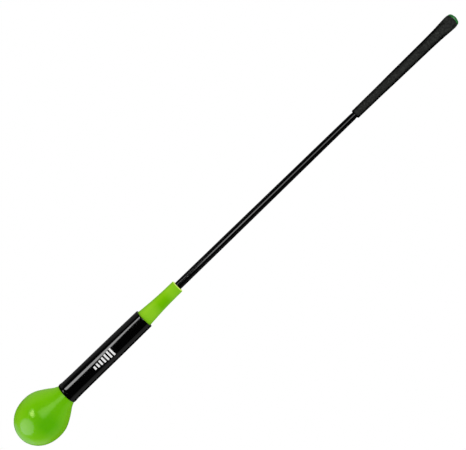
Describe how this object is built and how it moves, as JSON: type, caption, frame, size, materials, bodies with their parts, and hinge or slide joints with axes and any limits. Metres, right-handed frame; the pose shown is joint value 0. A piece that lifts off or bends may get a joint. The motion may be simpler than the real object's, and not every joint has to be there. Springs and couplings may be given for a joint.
{
  "type": "swing trainer stick",
  "caption": "Golf swing trainer with a soft weighted teardrop head, gloss sleeve, tapered neck, long springy shaft, and a rubber golf grip with a domed cap.",
  "frame": {"origin": "the pole of the teardrop head, at the bottom of the upright stick", "axes": "+Z along the straight shaft from the head to the butt end of the grip; the stick is round about Z, so X and Y are any two directions square to it, and the two bending planes are YZ (turning about X) and XZ (turning about Y)"},
  "size_m": [0.0998, 0.0998, 1.16],
  "materials": {
    "lime_vinyl": "gloss",
    "neck_vinyl": "satin",
    "sleeve_black": "gloss",
    "shaft_black": "satin",
    "grip_rubber": "matte",
    "cap_green": "satin",
    "foam": "matte",
    "iron": "matte",
    "screw_steel": "satin",
    "insert_brass": "satin",
    "bush_plastic": "matte",
    "tape": "matte"
  },
  "bodies": {
    "handle": {"shaft_9": "shaft_black", "grip_tape": "tape", "grip": "grip_rubber", "shaft_butt_plug": "bush_plastic", "grip_cap": "cap_green"},
    "shaft_link_8": {"shaft_8": "shaft_black"},
    "shaft_link_7": {"shaft_7": "shaft_black"},
    "shaft_link_6": {"shaft_6": "shaft_black"},
    "shaft_link_5": {"shaft_5": "shaft_black"},
    "shaft_link_4": {"shaft_4": "shaft_black"},
    "shaft_link_3": {"shaft_3": "shaft_black"},
    "shaft_link_2": {"shaft_2": "shaft_black"},
    "head": {"shaft_1": "shaft_black", "neck": "neck_vinyl", "sleeve": "sleeve_black", "sleeve_spacer": "bush_plastic", "stem_bush": "bush_plastic", "head_shell": "lime_vinyl", "head_foam_core": "foam", "head_weight": "iron", "weight_washer": "screw_steel", "weight_screw": "screw_steel", "shaft_tip_insert": "insert_brass"}
  },
  "joints": [
    {"name": "shaft_bend_x1", "type": "hinge", "parent": "handle", "child": "shaft_link_8", "pos_m": [0, 0, 0.86225], "axis": [1, 0, 0], "range_deg": [-9.8, 9.8], "stiffness_Nm_per_rad": 150},
    {"name": "shaft_bend_y1", "type": "hinge", "parent": "shaft_link_8", "child": "shaft_link_7", "pos_m": [0, 0, 0.80275], "axis": [0, 1, 0], "range_deg": [-10, 10], "stiffness_Nm_per_rad": 163},
    {"name": "shaft_bend_x2", "type": "hinge", "parent": "shaft_link_7", "child": "shaft_link_6", "pos_m": [0, 0, 0.74325], "axis": [1, 0, 0], "range_deg": [-7.1, 7.1], "stiffness_Nm_per_rad": 176},
    {"name": "shaft_bend_y2", "type": "hinge", "parent": "shaft_link_6", "child": "shaft_link_5", "pos_m": [0, 0, 0.68375], "axis": [0, 1, 0], "range_deg": [-7.2, 7.2], "stiffness_Nm_per_rad": 190},
    {"name": "shaft_bend_x3", "type": "hinge", "parent": "shaft_link_5", "child": "shaft_link_4", "pos_m": [0, 0, 0.62425], "axis": [1, 0, 0], "range_deg": [-5, 5], "stiffness_Nm_per_rad": 206},
    {"name": "shaft_bend_y3", "type": "hinge", "parent": "shaft_link_4", "child": "shaft_link_3", "pos_m": [0, 0, 0.56475], "axis": [0, 1, 0], "range_deg": [-5, 5], "stiffness_Nm_per_rad": 222},
    {"name": "shaft_bend_x4", "type": "hinge", "parent": "shaft_link_3", "child": "shaft_link_2", "pos_m": [0, 0, 0.50525], "axis": [1, 0, 0], "range_deg": [-3.4, 3.4], "stiffness_Nm_per_rad": 238},
    {"name": "shaft_bend_y4", "type": "hinge", "parent": "shaft_link_2", "child": "head", "pos_m": [0, 0, 0.44575], "axis": [0, 1, 0], "range_deg": [-3.2, 3.2], "stiffness_Nm_per_rad": 256}
  ]
}
